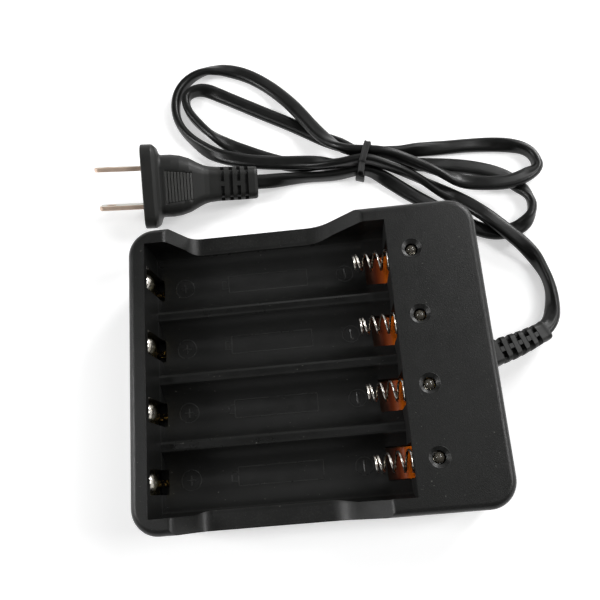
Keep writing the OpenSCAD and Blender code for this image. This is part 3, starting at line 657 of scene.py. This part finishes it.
def build_relief():
    way = spline(RELIEF_LINE, RELIEF_FINE_STEP)
    along = run_length(way)
    end = along[-1]
    slots = [float(np.interp(x, way[:, 0], along)) for x in RELIEF_SLOTS]
    neck_y, neck_z = RELIEF_LINE[0][1:3]
    verts = []
    for x, r in RELIEF_NECK:
        verts += [(x, neck_y + p[0], neck_z + p[1]) for p in soft_rect(r, r, r)]
    marks = steps_with_slots(0.0, end, RELIEF_STEP, slots, RELIEF_SLOT_WIDE)
    for s, slot in marks:
        at = np.array([np.interp(s, along, way[:, i]) for i in range(5)])
        ahead, behind = (np.array([np.interp(q, along, way[:, i]) for i in range(3)])
                         for q in (min(s + RELIEF_LOOK, end), max(s - RELIEF_LOOK, 0)))
        d = unit(ahead - behind)
        u = unit(np.array([-d[1], d[0], 0]))
        v = np.cross(d, u)
        near = min(abs(s - c) - RELIEF_SLOT_WIDE / 2 for c in slots)
        shrink = RELIEF_RIM if slot is None and near < RELIEF_RIM_REACH else 0.0
        shrink += RELIEF_FACE if s < RELIEF_FACE_REACH else 0.0
        for p in soft_rect(at[3] - shrink, at[4] - shrink, RELIEF_CORNER):
            if slot is not None and abs(p[0]) > RELIEF_SPINE:
                p = sunk(p, at[3], at[4], RELIEF_SLOT_DEEP)
            verts.append(at[:3] + u * p[0] + v * p[1])
    faces = ring_faces(len(RELIEF_NECK) + len(marks), SOFT_RECT_POINTS)
    obj = add_mesh("strain_relief_moulding", verts, faces, PLUG_VINYL, slot="cord_vinyl", sharp=40)
    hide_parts("strain_relief")


build_relief()
blades = [build_blade(1, 1, 5, 0.65), build_blade(2, -1, 6, 0.0)]


# Cable tie: a thin nylon band around the hank, with its lock and cut tail at the near side

TIE_AT, TIE_TURN = (24.0, 72.5, 0.95), -20.0
TIE_WIDE, TIE_THICK, TIE_BEVEL, TIE_LOWEST = 2.2, 0.56, 0.16, -0.73
TIE_SMOOTHINGS = 3
TIE_GROOVE_TOP, TIE_GROOVE_FOOT, TIE_GROOVE_DEEP = 0.45, 0.3, 0.12
TIE_LOOP = [(-5.45, 0.0), (-5.1, -0.33), (0, -0.35), (5.1, -0.33), (5.45, 0.0), (5.5, 2.2),
            (5.5, 4.4), (4.8, 7.0), (3.9, 10.4), (3.45, 10.78), (0, 10.82), (-3.45, 10.78),
            (-3.9, 10.4), (-4.8, 7.0), (-5.5, 4.4), (-5.5, 2.2)]
# Lock and tail: outline in y and z, its middle, and the stations across the band with their scale
TIE_LOCK = ([(-6.8, 0.9), (-6.6, 0.5), (-5.8, 0.35), (-5.62, 0.6), (-5.62, 3.7), (-5.8, 4.0),
             (-6.35, 4.1), (-6.9, 3.1)],
            (-6.4, 2.3), ((-1.5, 0.86), (-1.32, 1.0), (1.32, 1.0), (1.5, 0.86)))
TIE_TAIL = ([(-5.9, 3.8), (-6.1, 4.7), (-6.5, 5.2), (-6.7, 5.0), (-6.4, 4.4), (-6.25, 3.6)],
            (-6.5, 4.4), ((-1.0, 0.9), (-0.9, 1.0), (0.9, 1.0), (1.0, 0.9)))


def tie_block(m, outline, middle, stations):
    my, mz = middle
    verts = [m @ Vector((x, my + (y - my) * k, mz + (z - mz) * k))
             for x, k in stations for y, z in outline]
    return verts, ring_faces(len(stations), len(outline))


def build_tie():
    loop = [np.array(p) for p in TIE_LOOP]
    for _ in range(TIE_SMOOTHINGS):
        loop = [q for a, b in zip(loop, loop[1:] + loop[:1])
                for q in (a * 0.75 + b * 0.25, a * 0.25 + b * 0.75)]
    m = Matrix.Translation(Vector(TIE_AT)) @ Matrix.Rotation(math.radians(TIE_TURN), 4, "Z")
    w, h, c = TIE_WIDE / 2, TIE_THICK / 2, TIE_BEVEL
    foot = h - TIE_GROOVE_DEEP
    section = [(-w, -h + c), (-w + c, -h), (w - c, -h), (w, -h + c), (w, h - c), (w - c, h),
               (TIE_GROOVE_TOP, h), (TIE_GROOVE_FOOT, foot), (-TIE_GROOVE_FOOT, foot),
               (-TIE_GROOVE_TOP, h), (-w + c, h), (-w, h - c)]
    verts = []
    n = len(loop)
    for k, p in enumerate(loop):
        d = unit(loop[(k + 1) % n] - loop[k - 1])
        out = np.array([d[1], -d[0]])
        for x, t in section:
            y, z = p + out * t
            verts.append(m @ Vector((x, y, max(z, TIE_LOWEST))))
    band = (verts, ring_faces(n, len(section), closed=True))
    parts = [band, tie_block(m, *TIE_LOCK), tie_block(m, *TIE_TAIL)]
    obj = add_mesh("tie_band", *join_parts(parts), NYLON, slot="tie_nylon")
    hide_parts("cord_tie")
    return obj


tie = build_tie()


# Cord: the route of part.scad, as x, y, height of the underside and roll in degrees

ROUTE = [
    (72.2, 5.7, 5.2, 0), (75.9, 9.2, 3.8, 15), (78.2, 14.7, 1.4, 55), (79, 22, 0.1, 85),
    (77.3, 28.7, 0.1, 75), (73.6, 35.2, 1.9, 20), (67.4, 42, 3.3, 0), (60.6, 49.2, 3.1, 0),
    (54, 56, 0.5, 0), (48, 60.2, 0.3, -30), (42.4, 63.8, 1, -70), (36, 67.2, 2.8, -90),
    (30, 69.3, 5, -90), (24, 71, 6.3, -90), (16, 70.8, 5.9, -80), (8, 72.4, 5.4, -20),
    (0, 74.2, 3.8, 0), (-8, 75.4, 3.3, 0), (-16, 76.9, 3.3, 0), (-23, 79.2, 2.6, 10),
    (-30, 83, 1, 40), (-36, 88.6, 0.1, 80), (-40.6, 95.2, 0.1, 90), (-42.3, 102, 0.1, 90),
    (-40.8, 109.6, 0.1, 90), (-36, 115, 0.1, 80), (-28, 117.6, 0.2, 40), (-19, 115.8, 0.1, 0),
    (-11, 111, 0.1, 0), (-3, 102.8, 1.2, 0), (2.6, 94.4, 3.4, 0), (7.4, 86.8, 4.1, 10),
    (12, 80.4, 5.2, 30), (17, 75.9, 6.2, 80), (24, 74.2, 6.3, 90), (30, 73, 6.3, 90),
    (36.4, 70.9, 5, 90), (42.8, 67.8, 3.9, 85), (49, 64.4, 3.3, 60), (56, 61.2, 2.8, 10),
    (65, 59, 3.6, 0), (73, 59, 3.9, 0), (79, 61.4, 3.2, 20), (82.4, 65.2, 0.6, 80),
    (81.4, 69.6, 0.1, 90), (75, 73.4, 0.2, 60), (66, 75.3, 0.1, 10), (54, 75.8, 0.15, 0),
    (44, 75.8, 0.1, 40), (37, 75.7, 0.3, 85), (30, 75.8, 1, 90), (24, 75.7, 1.2, 90),
    (19, 78.8, 0.7, 75), (12, 83.4, 0.1, 20), (3, 89.3, 0.1, 0), (-8, 96, 0.1, 0),
    (-18.5, 102.4, 0.1, 0), (-27, 107.4, 0.1, 20), (-33.6, 109.4, 0.1, 75),
    (-37.8, 107.6, 0.1, 90), (-38, 102.8, 0.1, 90), (-34.6, 96.4, 0.1, 90),
    (-28.6, 89.6, 0.4, 60), (-21, 84.4, 0.1, 0), (-12, 79.8, 0.1, 0), (-3, 75.9, 0.1, 0),
    (2, 74.4, 0.1, 20), (8, 73.3, 0.2, 60), (16, 72.5, 0.6, 90), (24, 72.5, 1.2, 90),
    (30, 72.5, 1, 90), (36, 71.6, 0.2, 40), (43, 70.3, 0.1, 10), (53, 68.8, 0.1, 0),
    (63.4, 66.2, 0.1, 0), (70.6, 62.8, 0.1, 0), (75.8, 57.7, 0.2, 15), (78.4, 51.4, 0.1, 80),
    (76.6, 46, 0.4, 60), (71.4, 42.8, 0.2, 0), (64.4, 42.5, 0.1, 0), (57.4, 45.6, 0.1, 0),
    (47.8, 52.4, 0.1, 0), (39, 59.2, 0.1, 0), (30, 66.2, 0.5, 50), (24, 69.3, 1.2, 90),
    (16, 69.1, 0.7, 90), (4, 69.5, 0.1, 90), (-3, 69.3, 0.7, 70), (-9, 68.6, 2.4, 40),
    (-13, 68.3, 3.6, 26), (-16.5, 68.25, 4.2, 26)]
ROUTE_STEP, CORD_MAX_Y = 1.1, 117.48
CORD_W, CORD_T, CORD_POINTS = 5.0, 3.0, 28
SIDE_POWER, FLAT_POWER, WAIST_DEEP, WAIST_WIDE = 0.78, 0.72, 0.07, 0.55


def cord_section():
    """Outline of the flat two-core cord: two round sides and a faint waist between the cores."""
    out = []
    for j in range(CORD_POINTS):
        a = 2 * math.pi * j / CORD_POINTS
        c, s = math.cos(a), math.sin(a)
        x = math.copysign(abs(c) ** SIDE_POWER, c) * CORD_W / 2
        y = math.copysign(abs(s) ** FLAT_POWER, s) * CORD_T / 2
        out.append((x, y * (1 - WAIST_DEEP * math.exp(-(x / WAIST_WIDE) ** 2))))
    return out


def build_cord():
    section = cord_section()
    way = spline(ROUTE, ROUTE_STEP)
    rolls = np.radians(way[:, 3])
    tall = np.array([max(x * math.sin(r) + y * math.cos(r) for x, y in section) for r in rolls])
    line = np.column_stack([way[:, 0], np.minimum(way[:, 1], CORD_MAX_Y),
                            np.maximum(way[:, 2], LOWEST_Z) + tall])
    verts = []
    for c, d, r in zip(line, np.gradient(line, axis=0), rolls):
        d = unit(d)
        u0 = unit(np.array([-d[1], d[0], 0]))
        v0 = np.cross(u0, d)
        u = u0 * math.cos(r) + v0 * math.sin(r)
        v = v0 * math.cos(r) - u0 * math.sin(r)
        verts += [c + u * x + v * y for x, y in section]
    faces = ring_faces(len(line), len(section))
    obj = add_mesh("mains_cord", verts, faces, VINYL, slot="cord_vinyl")
    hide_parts("power_cord")


build_cord()


# Springs: round wire, tight at the tip, open towards the foot, and a tail through the wall

WIRE = 0.7
TIP_X, FOOT_X, TAIL_X, TAIL_Z = 15.4, 27.3, 29.6, 6.0
TIP_R, FOOT_R = (4.9 - WIRE) / 2, (7.0 - WIRE) / 2
TIP_TURNS, OPEN_TURNS, FOOT_TURNS = 1.2, 3.0, 1
TURNS = TIP_TURNS + OPEN_TURNS + FOOT_TURNS
WIDENING_TURNS = TURNS - 0.5
TIGHT_PITCH = WIRE * 1.25
OPEN_RUN = FOOT_X - TIP_X - WIRE - (TIP_TURNS + FOOT_TURNS) * TIGHT_PITCH
COIL_STEPS, COIL_PHASE, WIRE_SIDES = 260, math.radians(75), 12
TAIL_OVERLAP, TAIL_STRAIGHT, TAIL_STEP, TAIL_R = 0.15, 0.3, 0.4, WIRE / 2 * 0.95
TAIL_BEND = ((-0.9, 0), (-0.25, -0.2), (0, -0.9))
ANY_SIDE = (0.3, 0.8, 0.5)


def coil_run(t):
    """How far along x the wire has come after t turns."""
    if t < TIP_TURNS:
        return t * TIGHT_PITCH
    if t < TIP_TURNS + OPEN_TURNS:
        return TIP_TURNS * TIGHT_PITCH + (t - TIP_TURNS) / OPEN_TURNS * OPEN_RUN
    return TIP_TURNS * TIGHT_PITCH + OPEN_RUN + (t - TIP_TURNS - OPEN_TURNS) * TIGHT_PITCH


def tube(line, radius):
    line = [np.array(p, float) for p in line]
    angles = [2 * math.pi * j / WIRE_SIDES for j in range(WIRE_SIDES)]
    verts = []
    normal = None
    for k, c in enumerate(line):
        d = unit(line[min(k + 1, len(line) - 1)] - line[max(k - 1, 0)])
        if normal is None:
            normal = unit(np.cross(d, ANY_SIDE))
        normal = unit(normal - d * np.dot(normal, d))
        side = np.cross(d, normal)
        verts += [c + radius * (math.cos(a) * normal + math.sin(a) * side) for a in angles]
    return verts, ring_faces(len(line), WIRE_SIDES)


def build_spring(k):
    y0 = bay_y(k)
    number = k + 1
    line = []
    for s in range(COIL_STEPS + 1):
        t = TURNS * s / COIL_STEPS
        r = TIP_R + (FOOT_R - TIP_R) * min(1, t / WIDENING_TURNS)
        a = 2 * math.pi * t + COIL_PHASE
        line.append((TIP_X + WIRE / 2 + coil_run(t), y0 + r * math.sin(a),
                     SPRING_Z - r * math.cos(a)))
    coil = add_mesh("spring_coil_%d" % number, *tube(line, WIRE / 2), SPRING,
                    body="spring_%d" % number, slot="spring_wire")
    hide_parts("negative_spring_%d" % number)
    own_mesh(coil)
    x, y, z = line[-1]
    tail = [(x - TAIL_OVERLAP, y, z), (x + TAIL_STRAIGHT, y, z)]
    tail += [(TAIL_X + dx, y, z + dz) for dx, dz in TAIL_BEND] + [(TAIL_X, y, TAIL_Z)]
    add_mesh("spring_tail_%d" % number, *tube(spline(tail, TAIL_STEP), TAIL_R), SPRING,
             slot="spring_wire")


for k in range(BAYS):
    build_spring(k)


# Moulded marks in the troughs: signs in rings and a cell outline, as fine raised lines

LINE_WIDE, LINE_HIGH, SIGN_HIGH = 0.42, 0.10, 0.14
LINE_FOOT, SHOULDER_OUT, SHOULDER_UP, RING_STEPS, CORNER_ARC_STEPS = -0.03, 0.28, 0.8, 60, 6
PLUS_X, PLUS_RING, PLUS_ARM, PLUS_WIDE = -39.3, 3.0, 1.4, 0.6
MINUS_X, MINUS_RING, MINUS_ARM, MINUS_WIDE = 13.0, 2.65, 1.6, 0.75
CELL_X, CELL_HALF, CELL_CORNER = (-24.9, 0.75), 2.75, 0.4
BUTTON_X, BUTTON_HALF = -26.9, 1.3


def trough_z(dy):
    return AXIS_Z - math.sqrt(TROUGH_R**2 - dy**2)


def mark_line(points, y0, closed, width=LINE_WIDE, height=LINE_HIGH):
    """Raised line of rounded section laid on the trough's surface."""
    n = len(points)
    verts = []
    shoulder = SHOULDER_UP * height
    shape = [(-0.5, LINE_FOOT), (-SHOULDER_OUT, shoulder), (0, height), (SHOULDER_OUT, shoulder),
             (0.5, LINE_FOOT)]
    for k, (x, dy) in enumerate(points):
        a = points[(k - 1) % n] if closed else points[max(k - 1, 0)]
        b = points[(k + 1) % n] if closed else points[min(k + 1, n - 1)]
        d = unit(np.array([b[0] - a[0], b[1] - a[1]]))
        side = np.array([-d[1], d[0]])
        for w, h in shape:
            px, py = x + side[0] * w * width, dy + side[1] * w * width
            nz = (AXIS_Z - trough_z(py)) / TROUGH_R
            verts.append((px, y0 + py - h * py / TROUGH_R, trough_z(py) + h * nz))
    faces = []
    m = len(shape)
    for k in range(n if closed else n - 1):
        a, b = k * m, ((k + 1) % n) * m
        faces += [(a + j, a + j + 1, b + j + 1, b + j) for j in range(m - 1)]
    if not closed:
        faces += [tuple(range(m)), tuple(reversed(range((n - 1) * m, n * m)))]
    return verts, faces


def sign_line(x0, dy0, x1, dy1, y0, width):
    return mark_line(dense([(x0, dy0), (x1, dy1)], False), y0, False, width, SIGN_HIGH)


def arc(cx, cy, r, a0, a1, count):
    turns = [math.radians(a0 + (a1 - a0) * j / count) for j in range(count + 1)]
    return [(cx + r * math.cos(a), cy + r * math.sin(a)) for a in turns]


def ring(cx, r):
    return arc(cx, 0, r, 0, 360, RING_STEPS)[:-1]


def round_box(x0, x1, y0, y1, r):
    corners = ((x1 - r, y1 - r), (x0 + r, y1 - r), (x0 + r, y0 + r), (x1 - r, y0 + r))
    return [p for i, (cx, cy) in enumerate(corners)
            for p in arc(cx, cy, r, 90 * i, 90 * i + 90, CORNER_ARC_STEPS)]


for k in range(BAYS):
    y0 = bay_y(k)
    cell = round_box(*CELL_X, -CELL_HALF, CELL_HALF, CELL_CORNER)
    button = [(CELL_X[0], BUTTON_HALF), (BUTTON_X, BUTTON_HALF),
              (BUTTON_X, -BUTTON_HALF), (CELL_X[0], -BUTTON_HALF)]
    parts = [mark_line(ring(PLUS_X, PLUS_RING), y0, True),
             sign_line(PLUS_X - PLUS_ARM, 0, PLUS_X + PLUS_ARM, 0, y0, PLUS_WIDE),
             sign_line(PLUS_X, -PLUS_ARM, PLUS_X, PLUS_ARM, y0, PLUS_WIDE),
             mark_line(ring(MINUS_X, MINUS_RING), y0, True),
             sign_line(MINUS_X, -MINUS_ARM, MINUS_X, MINUS_ARM, y0, MINUS_WIDE),
             mark_line(dense(cell), y0, True),
             mark_line(dense(button, False), y0, False)]
    add_mesh("trough_marks_%d" % (k + 1), *join_parts(parts), MARK_WITH_PAINTED_HIGHLIGHT, slot="housing_plastic")


# Floor, backdrop and lights, in metres

STAGE_R, WALL_H, STAGE_N = 4.0, 1.5, 64
FLOOR_DROP = -0.00002
FLOOR_GREY, FLOOR_GLOW, WALL_GREY, WALL_GLOW = 0.78, 0.5, 0.8, 1.0
CARD_ROUGH, CARD_SPEC = 0.9, 0.1
GLOW_FADE = (0.25, 0.9)
WORLD_STRENGTH = 0.03


def white_card(name, grey, glow_strength, lit=True):
    """Pale surface; what the camera and mirror-like surfaces see of it is lifted to white."""
    m, t, s = new_material(name)
    s.inputs["Base Color"].default_value = (grey, grey, grey, 1)
    s.inputs["Roughness"].default_value = CARD_ROUGH
    s.inputs["Specular IOR Level"].default_value = CARD_SPEC
    rays = t.nodes.new("ShaderNodeLightPath").outputs
    glow = t.nodes.new("ShaderNodeEmission")
    glow.inputs["Color"].default_value = (1, 1, 1, 1)
    glow.inputs["Strength"].default_value = glow_strength
    shown = glow
    if lit:
        radius = distance(t, axis_value(t, "X"), axis_value(t, "Y"))
        t.links.new(remap(t, radius, glow_strength, 1.0, *GLOW_FADE), glow.inputs["Strength"])
        shown = t.nodes.new("ShaderNodeAddShader")
        t.links.new(s.outputs[0], shown.inputs[0])
        t.links.new(glow.outputs[0], shown.inputs[1])
    mix = t.nodes.new("ShaderNodeMixShader")
    seen = math_node(t, "MAXIMUM", rays["Is Camera Ray"], rays["Is Glossy Ray"])
    t.links.new(math_node(t, "MAXIMUM", seen, rays["Is Transmission Ray"]), mix.inputs["Fac"])
    t.links.new(s.outputs[0], mix.inputs[1])
    t.links.new(shown.outputs[0], mix.inputs[2])
    t.links.new(mix.outputs[0], t.nodes["Material Output"].inputs["Surface"])
    return m


def stage_mesh(name, verts, faces, material):
    mesh = bpy.data.meshes.new(name)
    mesh.from_pydata(verts, [], faces)
    obj = new_object(name, mesh)
    mesh.materials.append(material)


stage_turns = [2 * math.pi * j / STAGE_N for j in range(STAGE_N)]
rim = [(STAGE_R * math.cos(a), STAGE_R * math.sin(a)) for a in stage_turns]
stage_mesh("floor", [(x, y, FLOOR_DROP) for x, y in rim], [tuple(range(STAGE_N))],
           white_card("floor_white", FLOOR_GREY, FLOOR_GLOW))
stage_mesh("backdrop", [(x, y, z) for z in (FLOOR_DROP, WALL_H) for x, y in rim],
           [(j, (j + 1) % STAGE_N, STAGE_N + (j + 1) % STAGE_N, STAGE_N + j)
            for j in range(STAGE_N)],
           white_card("backdrop_white", WALL_GREY, WALL_GLOW, lit=False))

scene = bpy.context.scene
scene.world = bpy.data.worlds.new("studio")
scene.world.use_nodes = True
background = scene.world.node_tree.nodes["Background"]
background.inputs["Color"].default_value = (1, 1, 1, 1)
background.inputs["Strength"].default_value = WORLD_STRENGTH

LIGHT_CENTRE = Vector((0.005, 0.03, 0.015))
LIGHT_DISTANCE = 0.9
# Name, azimuth, elevation, power, size
LIGHTS = [("right_low", 45, 25, 4.3, 0.26), ("right_high", 45, 50, 1.55, 0.26),
          ("right", 0, 44, 2.95, 0.26), ("left", 180, 42, 3.1, 0.22),
          ("left_high", 180, 62, 0.45, 0.26), ("left_low", 180, 12, 0.7, 0.26),
          ("front", 270, 50, 0.12, 0.26), ("rear", 90, 38, 0.33, 0.26), ("top", 0, 80, 0.25, 0.26)]

for name, azimuth, elevation, power, size in LIGHTS:
    light = bpy.data.lights.new(name, "AREA")
    light.shape = "SQUARE"
    light.size = size
    light.energy = power
    obj = new_object(name, light)
    a, e = math.radians(azimuth), math.radians(elevation)
    towards = Vector((math.cos(e) * math.cos(a), math.cos(e) * math.sin(a), math.sin(e)))
    obj.location = LIGHT_CENTRE + LIGHT_DISTANCE * towards
    obj.rotation_euler = (-towards).to_track_quat("-Z", "Y").to_euler()

scene.view_settings.view_transform = "Standard"
